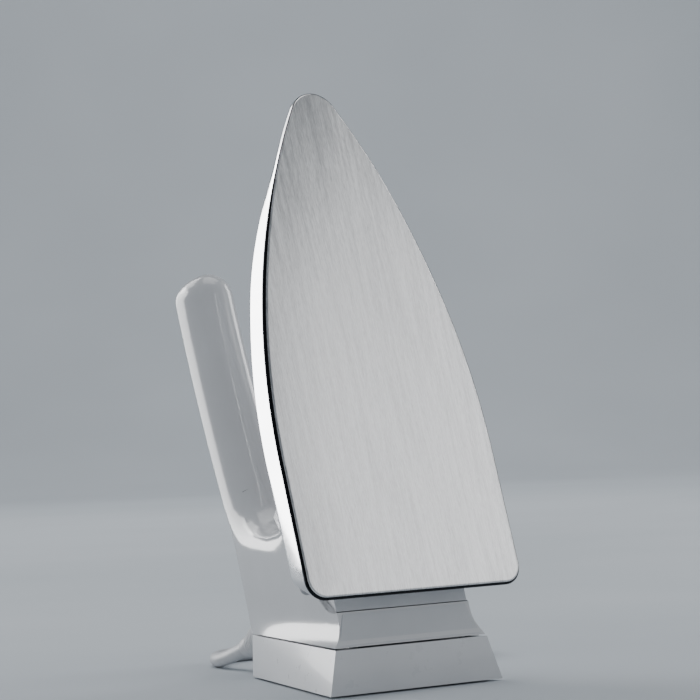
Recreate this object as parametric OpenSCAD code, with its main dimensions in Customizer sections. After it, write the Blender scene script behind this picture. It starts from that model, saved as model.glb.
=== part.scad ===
// Dry clothes iron, standing on its heel. Millimetres, +Z up, the table is z = 0.
// The sole's axis leans back by "lean". The iron's own frame has x across, y from the sole's
// rear edge to its tip, and z from the sole's face towards the handle.

/* [Stance] */
// Angle between the sole face and the vertical
lean = 17.3; // [14:0.1:20]
// Height of the sole's rear edge above the table
rear_z = 42; // [40:0.5:46]
// Distance from the middle of the heel forward to the sole's rear edge
rear_y = 59; // [56:0.5:62]
// Height of the seam between heel and base
seam_z = 20; // [18:0.5:22]

/* [Soleplate] */
// Length of the sole
sole_len = 230; // [222:1:236]
// Widest part of the sole
sole_w = 112; // [108:1:116]
// Radius of the long curve of each side
side_r = 320; // [310:1:330]
// Distance from the rear edge to where the sides begin to curve
side_start = 60; // [56:1:64]
// Radius of the rear corners
corner_r = 9; // [7:0.5:11]
// Thickness of the face plate
face_t = 1.2; // [1:0.1:1.5]
// Height of the polished wall amidships
wall_h = 13; // [12:0.5:14]
// Height of the polished wall at the nose
nose_h = 4; // [3.5:0.5:4.5]
// Thickness of the casting above the face plate
plate_t = 5; // [4:0.5:6]
// Thickness of the rim that carries the polished wall
rim_t = 3.5; // [3:0.5:4]

/* [Handle] */
// Half width of the cheeks at the face's level
cheek_half = 37.3; // [36.5:0.1:38]
// Narrowing of each cheek for each millimetre away from the face
cheek_taper = 0.192; // [0.186:0.001:0.196]
// Height of the heel's back above the face
heel_back = 111.3; // [110:0.1:113]
// Distance from the rear edge to where the grip begins to rise
grip_start = 57; // [54:1:60]
// Slope of the grip's back where it begins
grip_rise = 0.196; // [0.18:0.001:0.21]
// Radius of the arch along the grip's back
grip_arch = 630; // [600:10:700]
// Distance from the sole's rear edge to the end of the grip
grip_end = 186; // [180:1:190]
// Depth of the grip from its flat back to its rounded underside
grip_t = 20; // [18:0.5:21]
// Thickness of the moulded walls
shell_t = 3; // [2.5:0.1:3.2]

/* [Body cover] */
// Gap between the polished wall and the cover's foot, seen from above
cover_in = 8; // [7:0.5:9]
// Height of the cover beside the finger gap
cover_top = 50; // [48:0.5:51]
// Height of the cover at its front end
cover_nose = 16; // [15:0.5:17]
// Distance from the rear edge to the cover's front end
cover_len = 217; // [212:1:218]
// Height of the heat-resistant skirt under the cover
skirt_h = 4; // [3:0.5:5]

/* [Dial] */
// Distance from the rear edge to the dial's axis
dial_y = 105; // [103:1:107]
// Radius of the dial
dial_r = 19; // [17:0.5:19.5]
// Height of the dial
dial_h = 8; // [7:0.5:8]
// Radius of the spindle
spindle_r = 3; // [3:0.1:3]
// Radial clearance of the spindle in its bush
spindle_gap = 0.05; // [0.03:0.01:0.08]

/* [Lead] */
// Diameter of the mains lead
cord_d = 7; // [7:0.1:7]
// Root radius of the strain relief
relief_r = 14; // [13:0.5:14]
// Length of the strain relief outside the heel
relief_len = 32; // [32:1:32]
// Radius of each round plug pin
pin_r = 2.4; // [2.4:0.1:2.4]
// Length of each plug pin
pin_len = 19; // [19:0.5:19]

/* [Hidden] */

half_w = sole_w / 2;
// The tip's radius follows from the side arcs and the length
side_in = side_r - half_w;
arc_len = sole_len - side_start;
tip_r = (side_r ^ 2 - side_in ^ 2 - arc_len ^ 2) / (2 * (side_r - arc_len));
plate_top = face_t + plate_t;
gap = 0.3;
cord_r = cord_d / 2;

// ---- Curves ----

function arc(cx, cy, r, a0, a1, n) =
    [for (i = [0:n]) let (a = a0 + (a1 - a0) * i / n) [cx + r * cos(a), cy + r * sin(a)]];
function ease(t) = let (u = max(0, min(1, t))) u * u * (3 - 2 * u);
function flip(points) = [for (i = [len(points) - 1:-1:0]) [-points[i][0], points[i][1]]];

// Outline of the sole, drawn in by "inset" all round
function half_outline(inset) =
    let (c = max(corner_r, inset + 2),
         t = max(tip_r, inset + 1),
         tip_y = side_start + sqrt((side_r - t) ^ 2 - side_in ^ 2),
         a = atan2(tip_y - side_start, side_in))
    concat(arc(half_w - c, c, c - inset, -90, 0, 5),
           arc(-side_in, side_start, side_r - inset, 0, a, 22),
           arc(0, tip_y, t - inset, a, 90, 4));
function sole_outline(inset) = let (h = half_outline(inset)) concat(h, flip(h));

// Half width of the sole at a distance from its rear edge
function sole_half(y) =
    y < side_start ? half_w : sqrt(side_r ^ 2 - (y - side_start) ^ 2) - side_in;

// Top of the polished wall: low at the nose, full amidships, a little lower at the rear
nose_y = 194;
nose_run = 54;
function wall_top(y) =
    nose_h + (wall_h - nose_h) * sin(90 * max(0, min(1, (nose_y - y) / nose_run)))
    - 2 * (1 - min(1, max(0, y / 90)));

// Half width between the cheeks at a height above the face
function cheek(z) = cheek_half - cheek_taper * z;

// Flat back of heel and grip
function back_z(y) =
    y < grip_start ? heel_back
    : heel_back + grip_rise * (y - grip_start) - (y - grip_start) ^ 2 / (2 * grip_arch);

// Seam plane as seen in the iron's own frame
function seam_y(z) = (seam_z - rear_z + z * sin(lean)) / cos(lean);

// Top of the body cover, from the finger gap to the front end
gap_end = 51;
gap_r = 18;
function cover_z(y) =
    y < gap_end ? cover_top + gap_r
    : y < gap_end + gap_r ? cover_top + gap_r - sqrt(gap_r ^ 2 - (gap_end + gap_r - y) ^ 2)
    : cover_top - (cover_top - cover_nose) * ((y - gap_end - gap_r) / (cover_len - gap_end - gap_r)) ^ 1.6;

// ---- Helpers ----

// Places a shape that is drawn in the iron's own frame
module iron() {
    translate([0, -rear_y, rear_z]) rotate([90 + lean, 0, 180]) children();
}

// Extrudes a side view, given as [y, z], across the iron
module side(points, width = 200) {
    rotate([90, 0, 90]) linear_extrude(width, center = true) polygon(points);
}

module slab(inset, z0, z1) {
    translate([0, 0, z0]) linear_extrude(z1 - z0) polygon(sole_outline(inset));
}

// The wedge between the two cheeks, drawn in by "inset"
module cheeks(inset = 0, z0 = 0, z1 = 140) {
    a = cheek(z0) - inset;
    b = cheek(z1) - inset;
    translate([0, 240, 0]) rotate([90, 0, 0]) linear_extrude(300)
        polygon([[-a, z0], [a, z0], [b, z1], [-b, z1]]);
}

// A closed solid through rings of equal length
module loft(rings) {
    n = len(rings[0]);
    last = len(rings) - 1;
    points = [for (ring = rings) each ring];
    sides = [for (i = [0:last - 1]) for (j = [0:n - 1])
        let (a = i * n + j, b = i * n + (j + 1) % n)
        each [[a, b, b + n], [a, b + n, a + n]]];
    cap_a = [[for (j = [n - 1:-1:0]) j]];
    cap_b = [[for (j = [0:n - 1]) last * n + j]];
    polyhedron(points, concat(sides, cap_a, cap_b));
}

// Tube swept along a route; every ring stands square to the route
function unit(v) = v / norm(v);
function ring_at(route, i, r, sides) =
    let (n = len(route) - 1,
         d = unit(route[min(n, i + 1)] - route[max(0, i - 1)]),
         across = unit(cross(d, abs(d[2]) > 0.9 ? [0, 1, 0] : [0, 0, 1])),
         up = cross(across, d))
    [for (k = [0:sides - 1]) let (a = 360 * k / sides + 180 / sides)
        route[i] + r / cos(180 / sides) * 0.98 * (cos(a) * across + sin(a) * up)];
module tube(route, r, sides = 10) {
    loft([for (i = [0:len(route) - 1]) ring_at(route, i, r, sides)]);
}

// ---- Sole ----

module sole_face() color("silver") iron() slab(1, 0, face_t);

element_z = plate_top + 0.4;
element_r = 3.3;
bend_y = 165;
bend_r = 14;
leg_x = 34;
knee_y = 60;
heel_end_y = 26;
bend_parts = 16;
terminal_room = 13;
ELEMENT = concat([[leg_x, heel_end_y, element_z], [leg_x, knee_y, element_z]],
                 [for (p = arc(0, bend_y, bend_r, 0, 180, bend_parts)) [p[0], p[1], element_z]],
                 [[-leg_x, knee_y, element_z], [-leg_x, heel_end_y, element_z]]);

// Channel in the casting that the element lies in, seen from above
function channel_side(w) = concat([[leg_x + w, heel_end_y - terminal_room], [leg_x + w, knee_y]],
                                  arc(0, bend_y, bend_r + w, 0, 180, bend_parts),
                                  [[-leg_x - w, knee_y], [-leg_x - w, heel_end_y - terminal_room]]);
module element_channel(w) {
    inner = channel_side(-w);
    translate([0, 0, element_z - w]) linear_extrude(20)
        polygon(concat(channel_side(w), [for (i = [len(inner) - 1:-1:0]) inner[i]]));
}

boss_r = 4;
screw_r = 1.6;
boss_top = 19;
BOSSES = [[0, 148], [-22, 42], [22, 42]];
module wall_side() {
    side(concat([[-1, 0]], [for (y = [-1:6:137]) [y, wall_top(y)]],
                [for (y = [140:4.5:194]) [y, wall_top(y)]],
                [[sole_len + 1, nose_h], [sole_len + 1, 0]]));
}
module soleplate() color("gainsboro") iron() difference() {
    union() {
        intersection() {
            union() {
                slab(1, face_t, face_t + 1);
                slab(0, face_t + 1, wall_h + 1);
            }
            wall_side();
        }
        for (p = BOSSES) translate([p[0], p[1], plate_top - 1])
            cylinder(h = boss_top - plate_top + 1, r = boss_r, $fn = 32);
    }
    difference() {
        slab(rim_t, plate_top, wall_h + 2);
        for (p = BOSSES) translate([p[0], p[1], 0]) cylinder(h = boss_top, r = boss_r, $fn = 32);
    }
    element_channel(element_r + 0.15);
    for (p = BOSSES) translate([p[0], p[1], plate_top]) cylinder(h = boss_top, r = screw_r + 0.05, $fn = 24);
}

module heating_element() color("dimgray") iron() tube(ELEMENT, element_r, 12);

module element_terminals() color("white") iron()
    for (s = [-1, 1]) translate([s * leg_x, heel_end_y, element_z])
    rotate([90, 0, 0]) {
        cylinder(h = 5, r = 2.6, $fn = 24);
        translate([0, 0, 5]) cylinder(h = 6, r = 1.2, $fn = 24);
    }

module earth_tab() color("gold") iron() translate([-14, 14, plate_top]) {
    cube([8, 8, 0.8]);
    translate([0, 7.2, 0]) cube([8, 0.8, 8]);
}

// ---- Heat shield and skirt ----

shield_z = boss_top;
shield_t = 0.8;
bush_hole = 9;
module heat_shield() color("lightsteelblue") iron() difference() {
    intersection() {
        slab(18, shield_z, shield_z + shield_t);
        translate([-60, 34, 0]) cube([120, 126, 40]);
    }
    translate([0, dial_y, 0]) cylinder(h = 40, r = bush_hole, $fn = 40);
    for (p = BOSSES) translate([p[0], p[1], 0]) cylinder(h = 40, r = screw_r + 0.2, $fn = 24);
}

module shield_screws() color("dimgray") iron() for (p = BOSSES) translate([p[0], p[1], shield_z - 10]) {
    cylinder(h = 10 + shield_t, r = screw_r, $fn = 24);
    translate([0, 0, 10 + shield_t]) cylinder(h = 2, r = 3, $fn = 32);
}

skirt_in = 6;
skirt_t = 5;
module skirt_band(z_low, z_high) {
    side(concat([for (y = [0:8:224]) [y, wall_top(y) + z_low]],
                [for (y = [224:-8:0]) [y, wall_top(y) + z_high]]));
}
module insulating_skirt() color("darkgray") iron() difference() {
    intersection() {
        slab(skirt_in, 2, 30);
        skirt_band(0, skirt_h);
    }
    slab(skirt_in + skirt_t, 0, 40);
    // the neck passes through the rear of the skirt
    translate([-cheek(wall_h) - gap, -10, 0]) cube([2 * (cheek(wall_h) + gap), 30, 40]);
}

// ---- Body cover ----

// Line along which heel and cover meet, in side view
SPLIT = concat([[-3, 0], [-3, 14.4]], arc(13, 14.4, 15.5, 180, 98, 6), [[40, 44], [62, 66]]);
ROOT = concat(SPLIT, [[240, 66], [240, 0]]);

// Foot of the cover: as narrow as the neck at the rear, then it follows the sole
function foot_half(y) =
    let (t = ease((y - 12) / 28))
    (1 - t) * cheek(16) + t * max(2, sole_half(min(y, 223)) - cover_in);
function foot_z(y) = wall_top(y) + skirt_h + gap;
function shoulder(y) = cover_z(y) - 5;
// Half width at the shoulder, never outside the cheeks
function shoulder_half(y) = min(cheek(shoulder(y)), 0.62 * foot_half(y));
nose_dome = 16;
function cover_k(y) = let (u = max(0, (y - cover_len + nose_dome) / nose_dome)) sqrt(max(0.03, 1 - u * u));
function cover_ring(y, inset) =
    let (k = cover_k(y),
         f = foot_half(y) * (0.4 + 0.6 * k) - inset,
         z0 = foot_z(y) - (inset > 0 ? 3 : 0),
         zs = foot_z(y) + (shoulder(y) - foot_z(y)) * k - inset,
         s = min(shoulder_half(y) * k - inset, f),
         zt = foot_z(y) + (cover_z(y) - foot_z(y)) * k - inset,
         right = concat([[f, z0]], [for (a = [0:15:90]) [s * cos(a), zs + (zt - zs) * sin(a)]]))
    [for (p = concat(right, [for (i = [len(right) - 2:-1:0]) [-right[i][0], right[i][1]]])) [p[0], y, p[1]]];
COVER_Y = concat([-6, 12, 18, 23, 28, 34, 40, 46], [51.2, 52, 53.5, 56, 60, 65], [for (y = [70:12:190]) y],
                 [for (a = [0:15:90]) cover_len - nose_dome + nose_dome * sin(a)]);
// The hollow stops short of the domed nose
INNER_Y = concat([for (y = COVER_Y) if (y < 192) y], [198]);
bezel_r = 22;
bezel_top = 49.4;
lens_y = 72;
slot_x = 31.7;
module body_cover() color("whitesmoke") iron() difference() {
    intersection() {
        loft([for (y = COVER_Y) cover_ring(y, 0)]);
        side(ROOT);
    }
    loft([for (y = INNER_Y) cover_ring(y, shell_t)]);
    translate([-200, -20, 0]) cube([400, 40, 13.5]);
    translate([0, dial_y, 0]) cylinder(h = 90, r = bezel_r + 0.05, $fn = 64);
    translate([0, lens_y, 0]) cylinder(h = 90, r = 4.05, $fn = 32);
    // two small slots behind the sole's rear corners
    for (s = [-1, 1]) translate([s * slot_x - 1.2, -0.6, 12]) cube([2.4, 3, 5]);
}

// ---- Handle shell, back cover and neck panel ----

// Closed end of the finger gap in side view
GAP = concat(arc(gap_end + gap_r - 3, cover_top + gap_r + 1, gap_r, -138, -180, 4),
             arc(gap_end + 21, back_z(72) - grip_t - 22, 22, 180, 96, 8));
grip_root = 78;
HEEL = concat([[seam_y(13.4), 13.4], [seam_y(13.4) + 6, 14.4], [-3 - gap, 14.4]],
              arc(13, 14.4, 15.5 + gap, 180, 98, 6), [[40 - gap, 44 + gap]], GAP,
              [[grip_root, back_z(grip_root) - grip_t], [grip_root, back_z(grip_root)]],
              [for (y = [72:-5:57]) [y, back_z(y)]], [[seam_y(heel_back), heel_back]]);
CAVITY = [[seam_y(17.4) - 5, 17.4], [-1, 17.4], [1, 26], [6, 33], [12, 35], [38, 47],
          [45, 54], [46, 72], [47, 85], [56, 98],
          [62, 108.4], [seam_y(108.4) - 5, 108.4]];

// The grip's end is domed: each ring there is a scaled copy of the D-shaped section
dome = 12;
GRIP_Y = concat([for (y = [grip_root:8:170]) y], [for (a = [0:15:90]) grip_end - dome + dome * sin(a)]);
function dome_k(y) = let (u = max(0, (y - grip_end + dome) / dome)) sqrt(max(0.02, 1 - u * u));
function grip_ring(y, depth) =
    let (k = dome_k(y),
         zt = back_z(y) - (1 - k) * depth * 0.45,
         w = cheek(zt) * k,
         flat = 2 * k)
    concat([[-w, y, zt]],
           [for (a = [180:-15:0]) [w * cos(a), y, zt - flat - (depth * k - flat) * sin(a)]],
           [[w, y, zt]]);

// Rebate for the back cover
cover_t = 2.5;
back_end = 172;
// Strip along the flat back, from "deep" below the surface to "proud" above it
BACK_Y = [seam_y(heel_back) - 8, 57, 66, 76, 88, 100, 115, 130, 145, 160];
module back_band(deep, proud, end, start = BACK_Y[0], width = 200) {
    stations = concat([start], [for (y = BACK_Y) if (y > start && y < end) y], [end]);
    side(concat([for (y = stations) [y, back_z(y) + proud]],
                [for (i = [len(stations) - 1:-1:0]) [stations[i], back_z(stations[i]) - deep]]), width);
}
module relief_hole(extra) {
    translate([0, seam_y(heel_back) + 0.4, heel_back - 8]) cylinder(h = 60, r = relief_r + extra, $fn = 64);
}

// Foot of the heel, which flares towards the base
flare_h = 12;
flare_front = 39.7;
flare_back = 16.1;
front_y = -rear_y + seam_y(13.4) * sin(lean) + 13.4 * cos(lean);
back_y = -rear_y + seam_y(heel_back) * sin(lean) + heel_back * cos(lean);
module foot_plan(front, back, inset = 0) {
    polygon([[-front + inset, front_y + inset], [front - inset, front_y + inset],
             [back - inset, back_y - inset], [-back + inset, back_y - inset]]);
}
seam_gap = 0.8;
module flare() {
    hull() {
        translate([0, 0, seam_z + seam_gap / 2]) linear_extrude(0.1) foot_plan(flare_front, flare_back);
        translate([0, 0, seam_z + flare_h]) linear_extrude(0.1)
            polygon([[-34.6, front_y + 4], [34.6, front_y + 4], [15.9, back_y + 3.4], [-15.9, back_y + 3.4]]);
    }
}
BOSS_X = 27;
BOSS_Y = -42;
base_screw_top = 34;
panel_half = 32;
panel_end = -3.9;
module panel_shape(extra) {
    intersection() {
        iron() side([[-30, 10], [panel_end + extra, 10],
                     [panel_end + extra, 16.6 + extra], [-30, 16.6 + extra]],
                    2 * panel_half + 14);
        hull() {
            translate([0, 0, seam_z + seam_gap])
                linear_extrude(0.1) square([2 * (panel_half + 4.8 + extra), 160], center = true);
            translate([0, 0, seam_z + 14])
                linear_extrude(0.1) square([2 * (panel_half + extra), 160], center = true);
        }
    }
    intersection() {
        iron() side([[-30, 10], [panel_end + extra, 10],
                     [panel_end + extra, 16.6 + extra], [-30, 16.6 + extra]],
                    2 * (panel_half + extra));
        translate([-100, -100, seam_z + 14]) cube([200, 200, 60]);
    }
}
module heel_outer() {
    intersection() {
        union() {
            iron() intersection() {
                side(HEEL);
                cheeks();
            }
            flare();
        }
        translate([-100, -100, seam_z + seam_gap / 2]) cube([200, 300, 300]);
    }
}
module handle_shell() color("lightgray") {
    difference() {
        union() {
            difference() {
                heel_outer();
                iron() intersection() {
                    side(CAVITY);
                    cheeks(shell_t);
                }
            }
            iron() loft([for (y = GRIP_Y) grip_ring(y, grip_t)]);
            // posts for the base screws
            intersection() {
                heel_outer();
                for (s = [-1, 1]) translate([s * BOSS_X, BOSS_Y, seam_z]) {
                    cylinder(h = 30, r = 4.5, $fn = 32);
                    translate([min(0, s * 8), -2, 0]) cube([8, 4, 30]);
                }
            }
        }
        iron() {
            intersection() {
                back_band(cover_t + 0.05, 5, back_end);
                cheeks(1.2);
            }
            // hollow of the grip
            back_band(12, 5, 166, 64, 15);
            relief_hole(0.1);
            // passage for the leads between heel and body cover
            translate([-18, 16, 28]) cube([36, 18, 21]);
        }
        panel_shape(0.1);
        for (s = [-1, 1]) translate([s * BOSS_X, BOSS_Y, 0])
            cylinder(h = base_screw_top + 2, r = screw_r + 0.05, $fn = 24);
    }
}

module back_cover() color("white") iron() difference() {
    intersection() {
        back_band(cover_t, 0, back_end - 0.2);
        cheeks(1.3);
        side([[seam_y(heel_back) + 0.5, 90], [200, 90], [200, 140], [seam_y(heel_back) + 0.5, 140]]);
    }
    relief_hole(0.15);
}

module neck_panel() color("slategray") difference() {
    intersection() {
        panel_shape(0);
        iron() side([[seam_y(14) - 9, 14], [2, 14], [2, 16.5], [seam_y(16) - 9, 16.5]]);
        translate([-100, -200, seam_z + seam_gap / 2]) cube([200, 400, 100]);
    }
    for (s = [-1, 1]) translate([s * BOSS_X, BOSS_Y, seam_z - 1]) cylinder(h = 40, r = 4.6, $fn = 32);
}

// ---- Base ----

cord_y = seam_y(heel_back) + 0.4;
clamp_z = 92;

pad_up = 1;
foot_front = 45;
foot_back = 16.6;
foot_fwd = 3;
base_t = 3;
module base_block(inset) {
    hull() {
        translate([0, 0, pad_up - 0.1 + inset]) linear_extrude(0.1)
            polygon([[-foot_front + inset, front_y - foot_fwd + inset],
                     [foot_front - inset, front_y - foot_fwd + inset],
                     [foot_back - inset, back_y - inset], [-foot_back + inset, back_y - inset]]);
        translate([0, 0, seam_z - seam_gap / 2 - 0.1 + inset])
            linear_extrude(0.1) foot_plan(flare_front, flare_back, inset);
    }
}
module pad_plan(extra) {
    polygon([[-38 - extra, front_y + 4 - extra], [38 + extra, front_y + 4 - extra],
             [13 + extra, back_y - 6 + extra], [-13 - extra, back_y - 6 + extra]]);
}
rim_front = cheek(13.4) - shell_t + 0.6;
rim_back = cheek(heel_back) - shell_t + 0.6;
module heel_base() color("white") difference() {
    union() {
        difference() {
            base_block(0);
            base_block(base_t);
        }
        // rim that reaches up inside the heel
        translate([0, 0, pad_up + 1]) linear_extrude(seam_z - pad_up + 1) difference() {
            foot_plan(rim_front, rim_back, 1);
            foot_plan(rim_front, rim_back, 3);
        }
        for (s = [-1, 1]) translate([s * BOSS_X, BOSS_Y, pad_up + 1])
            cylinder(h = seam_z - pad_up - 1, r = 4.5, $fn = 32);
    }
    translate([0, 0, -1]) linear_extrude(1 + 2.5) pad_plan(0.05);
    iron() relief_hole(0.1);
    for (s = [-1, 1]) translate([s * BOSS_X, BOSS_Y, 0]) {
        cylinder(h = 40, r = screw_r + 0.2, $fn = 24);
        cylinder(h = 6, r = 3.4, $fn = 32);
        translate([0, 0, seam_z]) cylinder(h = 40, r = 4.8, $fn = 32);
    }
    // room for the cord clamp, the neck panel and the posts' webs inside the rim
    iron() translate([-15.6, cord_y - 6, clamp_z - 0.5]) cube([31.2, 14, 8]);
    translate([-60, front_y - 1, seam_z - 0.4]) cube([120, 5, 20]);
    for (s = [-1, 1]) translate([s * 34 - 8, BOSS_Y - 3, seam_z - 0.4]) cube([16, 6, 20]);
}

module heel_pad() color("dimgray") difference() {
    linear_extrude(2.5) pad_plan(0);
    for (s = [-1, 1]) translate([s * BOSS_X, BOSS_Y, -1]) cylinder(h = 9, r = 3.6, $fn = 32);
}

module base_screws() color("silver") for (s = [-1, 1]) translate([s * BOSS_X, BOSS_Y, 4]) {
    cylinder(h = 2, r = 3, $fn = 32);
    translate([0, 0, 2]) cylinder(h = base_screw_top - 6, r = screw_r, $fn = 24);
}

// ---- Thermostat and dial ----

module dial_bezel() color("gray") iron() translate([0, dial_y, 0]) difference() {
    translate([0, 0, 38]) cylinder(h = bezel_top - 38, r = bezel_r, $fn = 64);
    translate([0, 0, 30]) cylinder(h = bezel_top - 32, r = bezel_r - 2, $fn = 64);
    cylinder(h = 90, r = spindle_r + 0.5, $fn = 32);
}

dial_z = bezel_top + 0.5;
flute_r = 5;
module temperature_dial() color("dimgray") iron() translate([0, dial_y, dial_z]) difference() {
    union() {
        cylinder(h = 2, r = dial_r, $fn = 64);
        translate([0, 0, 2]) cylinder(h = dial_h - 2, r = dial_r - 1.5, $fn = 64);
    }
    for (i = [0:11]) rotate(i * 30 + 15) translate([dial_r + 3, 0, 2.5])
        cylinder(h = dial_h, r = flute_r, $fn = 24);
    translate([-0.6, dial_r - 11, dial_h - 0.6]) cube([1.2, 8, 2]);
    translate([0, 0, -1]) cylinder(h = dial_h - 1, r = spindle_r, $fn = 32);
}

frame_z = 16.2;
bush_top = 31;
spindle_z = frame_z + 1;
module thermostat_spindle() color("goldenrod") iron() translate([0, dial_y, spindle_z])
    cylinder(h = dial_z + dial_h - 2 - spindle_z, r = spindle_r, $fn = 32);

module thermostat_frame() color("silver") iron() difference() {
    union() {
        translate([-7, dial_y - 9, frame_z]) cube([14, 39, 1.8]);
        translate([0, dial_y, frame_z]) cylinder(h = bush_top - frame_z, r = 6, $fn = 40);
    }
    translate([0, dial_y, frame_z - 1]) cylinder(h = 40, r = spindle_r + spindle_gap, $fn = 32);
}

module thermostat_stack() color("ivory") iron() difference() {
    translate([-6, dial_y + 10, plate_top]) cube([12, 19, frame_z - plate_top]);
    translate([-10, dial_y + 1, plate_top + 1.6]) cube([20, 18, 1]);
    translate([-10, dial_y + 1, plate_top + 6]) cube([20, 18, 0.6]);
}

module bimetal_strip() color("peru") iron() translate([-4, dial_y - 24, plate_top + 1.6]) cube([8, 43, 1]);

module contact_leaves() color("gold") iron() {
    translate([-3, dial_y - 12, plate_top + 6]) cube([6, 31, 0.6]);
    translate([0, dial_y - 8, plate_top + 4.2]) cylinder(h = 1.8, r = 1.5, $fn = 24);
}

module thermal_fuse() color("tan") iron() {
    translate([-18, 64, shield_z + shield_t + 2.2]) rotate([-90, 0, 0]) cylinder(h = 13, r = 2.2, $fn = 24);
    translate([-18, 58, shield_z + shield_t + 2.2]) rotate([-90, 0, 0]) cylinder(h = 6, r = 0.5, $fn = 16);
    translate([-18, 77, shield_z + shield_t + 2.2]) rotate([-90, 0, 0]) cylinder(h = 6, r = 0.5, $fn = 16);
}

module pilot_lens() color("orangered") iron() translate([0, lens_y, 0]) {
    translate([0, 0, 45]) cylinder(h = 5.4, r = 4, $fn = 32);
    translate([0, 0, 50.4]) intersection() {
        translate([0, 0, -4.6]) sphere(6.1, $fn = 48);
        cylinder(h = 4, r = 4, $fn = 32);
    }
}

module pilot_lamp() color("orange") iron() translate([0, lens_y, 32]) {
    cylinder(h = 5, r = 3.2, $fn = 32);
    translate([0, 0, 5]) cylinder(h = 8, r = 2.4, $fn = 32);
}

// ---- Wiring in the heel ----

block_y = 34;
block_z = 72;
module terminal_block() color("ivory") iron() difference() {
    translate([-15, block_y, block_z]) cube([30, 12, 16]);
    for (x = [-9, 0, 9]) {
        translate([x, block_y + 6, block_z - 1]) cylinder(h = 18, r = 1.8, $fn = 24);
        translate([x, block_y + 6, block_z + 8]) rotate([-90, 0, 0]) cylinder(h = 20, r = 2.2, $fn = 24);
    }
}

module terminal_screws() color("gold") iron() for (x = [-9, 0, 9])
    translate([x, block_y + 8.2, block_z + 8]) rotate([-90, 0, 0]) cylinder(h = 3, r = 2.1, $fn = 24);

lead_r = 1.1;
module inner_leads() color("firebrick") iron() {
    y0 = block_y + 6;
    // to the element, to the thermostat and to the earth tab
    tube([[9, y0, 78], [9, y0, 60], [10, 33, 50], [14, 28, 40], [24, 24, 28], [34, 18, 9.2]], lead_r, 8);
    tube([[0, y0, 78], [0, y0, 60], [0, 34, 50], [2, 32, 40],
          [10, 44, 28], [12, 60, 24], [12, 88, 24]], lead_r, 8);
    tube([[-9, y0, 78], [-9, y0, 60], [-9, 33, 50],
          [-11, 26, 38], [-10, 21.6, 20], [-10, 21.6, 14.2]], lead_r, 8);
    // from the mains lead
    for (x = [-9, 0, 9])
        tube([[x, y0, 82.5], [x, y0, 89], [x, y0 - 3, 94],
              [x * 0.8, 30, 96], [x * 0.5, 23, 90], [x * 0.36, 20, 81],
              [x * 0.3, 17, 77], [x * 0.28, 13.8, 77.4],
              [x * 0.28, 12.2, 81], [x * 0.28, 12, 85.9]], lead_r, 8);
}

module inner_cord() color("dimgray") iron() translate([0, cord_y, clamp_z - 6])
    cylinder(h = heel_back - 8 - clamp_z + 6, r = cord_r, $fn = 32);

module cord_clamp() color("lightgray") iron() difference() {
    union() {
        translate([-15.2, cord_y - 5.5, clamp_z]) cube([30.4, 5.4, 7]);
        translate([-11, cord_y + 0.1, clamp_z]) cube([22, 5.4, 7]);
    }
    translate([0, cord_y, clamp_z - 1]) cylinder(h = 20, r = cord_r, $fn = 32);
    for (s = [-1, 1]) translate([s * 7.8, cord_y - 10, clamp_z + 3.5])
        rotate([-90, 0, 0]) cylinder(h = 30, r = 1.55, $fn = 24);
}

module clamp_screws() color("silver") iron()
    for (s = [-1, 1]) translate([s * 7.8, cord_y - 4, clamp_z + 3.5]) rotate([-90, 0, 0]) {
    cylinder(h = 9.5, r = 1.5, $fn = 24);
    translate([0, 0, 9.5]) cylinder(h = 1.8, r = 2.8, $fn = 24);
}

// ---- Lead and plug ----

relief_tip = 4.8;
cone_len = 28;
rib_pitch = 3;
function cone_r(s) = relief_r - (relief_r - relief_tip) * s / cone_len;
module strain_relief() color("whitesmoke") iron() translate([0, cord_y, heel_back - 8])
    rotate_extrude($fn = 64)
    polygon(concat([[0, 0], [relief_r, 0]],
                   [for (i = [0:8]) let (s = i * rib_pitch) each [[cone_r(s), 8 + s],
                   [cone_r(s + 1.8), 8 + s + 1.8],
                        [cone_r(s + 1.8) - 0.9, 8 + s + 1.8], [cone_r(s + 3) - 0.9, 8 + s + 3]]],
                   [[relief_tip, 8 + cone_len], [relief_tip - 0.3, 8 + relief_len], [0, 8 + relief_len]]));

// Where the lead leaves the relief, and the direction it leaves in
exit_y = -rear_y + cord_y * sin(lean) + (heel_back + relief_len) * cos(lean);
exit_z = rear_z + cord_y * cos(lean) - (heel_back + relief_len) * sin(lean);
out = [0, cos(lean), -sin(lean)];
exit = [0, exit_y, exit_z];
COIL = [73, 80];
coil_mid = 37;
coil_turns = 4;
low = cord_r;

// Route of the free stretch: out of the relief, down on to the table and round into the coil
ROUTE = concat([exit, exit + 8 * out, exit + 16 * out],
               [[0, 104, 4.4], [2, 111, 3.6], [6, 118, low], [12, 123.5, low],
               [20, 126.8, low], [30, 127.5, low],
                [42, 127.5, low], [54, 127.5, low], [64, 127.5, low], [73, 127.5, low]]);
// Route of the end: off the top of the coil, inwards over it and up to the plug
TAIL = [[34.6, 52.6, 11.6], [31.6, 59.8, 13.9], [30.6, 67.6, 16.3], [31.6, 75.4, 18.1], [34.6, 82.6, 19.5],
        [39.4, 88.8, 21]];

module mains_cord() color("dimgray") tube(ROUTE, cord_r);
module cord_tail() color("dimgray") tube(TAIL, cord_r);
module cord_coil() color("dimgray") translate([COIL[0], COIL[1], 0]) rotate_extrude($fn = 96)
    translate([coil_mid - coil_turns * cord_d / 2, 0]) square([coil_turns * cord_d, 2 * cord_d]);

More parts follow.
